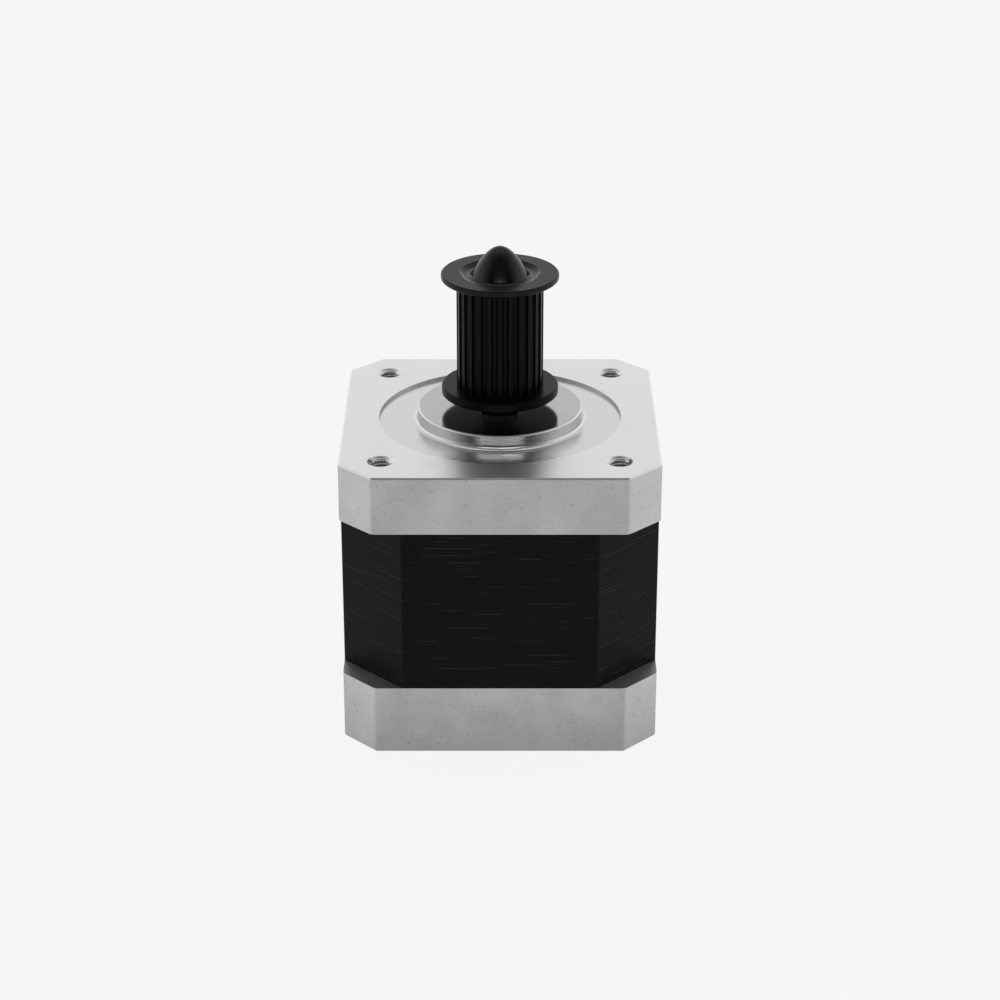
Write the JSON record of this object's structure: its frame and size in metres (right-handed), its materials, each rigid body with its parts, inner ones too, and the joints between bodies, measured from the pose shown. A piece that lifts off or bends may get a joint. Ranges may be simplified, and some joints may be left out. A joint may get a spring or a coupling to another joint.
{
  "type": "stepper motor with belt pulley",
  "caption": "Square stepper motor with cast end covers, laminated stator, pilot boss and tapped holes, its shaft carrying a flanged toothed belt pulley with a domed cap.",
  "frame": {"origin": "on the shaft axis, in the plane of the mounting face around the pilot boss", "axes": "+Z along the shaft towards the pulley, +Y towards the connector, X along the other pair of flats"},
  "size_m": [0.042, 0.0436, 0.064],
  "materials": {
    "cast_aluminium": "die cast, machined on the mounting face",
    "black_laminations": "blackened silicon steel sheets",
    "nylon": "moulded nylon",
    "copper_winding": "enamelled copper wire",
    "zinc_steel": "zinc plated",
    "spring_steel": "rolled strip",
    "bearing_steel": "ground bearing steel",
    "polished_ball": "polished bearing steel",
    "cage_nylon": "moulded nylon",
    "ground_shaft": "ground steel",
    "rotor_steel": "ground silicon steel",
    "magnet": "sintered magnet, plated",
    "pulley_black": "black, semi-gloss",
    "flange_black": "black, satin",
    "cap_black": "black, glossy",
    "connector_nylon": "moulded nylon",
    "pin_metal": "tinned brass"
  },
  "bodies": {
    "stator": {"front_cover": "cast_aluminium", "rear_cover": "cast_aluminium", "stator_laminations": "black_laminations", "front_insulator": "nylon", "rear_insulator": "nylon", "phase_a_coils": "copper_winding", "phase_b_coils": "copper_winding", "body_screws": "zinc_steel", "preload_wave_washer": "spring_steel", "front_bearing_outer_ring": "bearing_steel", "front_bearing_shields": "spring_steel", "rear_bearing_outer_ring": "bearing_steel", "rear_bearing_shields": "spring_steel", "connector_housing": "connector_nylon", "connector_pins": "pin_metal"},
    "rotor": {"shaft": "ground_shaft", "front_rotor_cup": "rotor_steel", "rear_rotor_cup": "rotor_steel", "rotor_magnet": "magnet", "front_bearing_inner_ring": "bearing_steel", "rear_bearing_inner_ring": "bearing_steel", "pulley_drum": "pulley_black", "pulley_upper_flange": "flange_black", "pulley_end_cap": "cap_black"},
    "front_ball_train": {"front_bearing_balls": "polished_ball", "front_bearing_cage": "cage_nylon"},
    "rear_ball_train": {"rear_bearing_balls": "polished_ball", "rear_bearing_cage": "cage_nylon"}
  },
  "joints": [
    {"name": "rotor_spin", "type": "hinge", "parent": "stator", "child": "rotor", "pos_m": [0, 0, 0], "axis": [0, 0, 1], "continuous": true},
    {"name": "front_cage_spin", "type": "hinge", "parent": "stator", "child": "front_ball_train", "pos_m": [0, 0, -0.0023], "axis": [0, 0, 1], "continuous": true},
    {"name": "rear_cage_spin", "type": "hinge", "parent": "stator", "child": "rear_ball_train", "pos_m": [0, 0, -0.0357], "axis": [0, 0, 1], "continuous": true}
  ],
  "couplings": [
    {"joint": "front_cage_spin", "follows": "rotor_spin", "ratio": 0.3676},
    {"joint": "rear_cage_spin", "follows": "rotor_spin", "ratio": 0.3676}
  ]
}
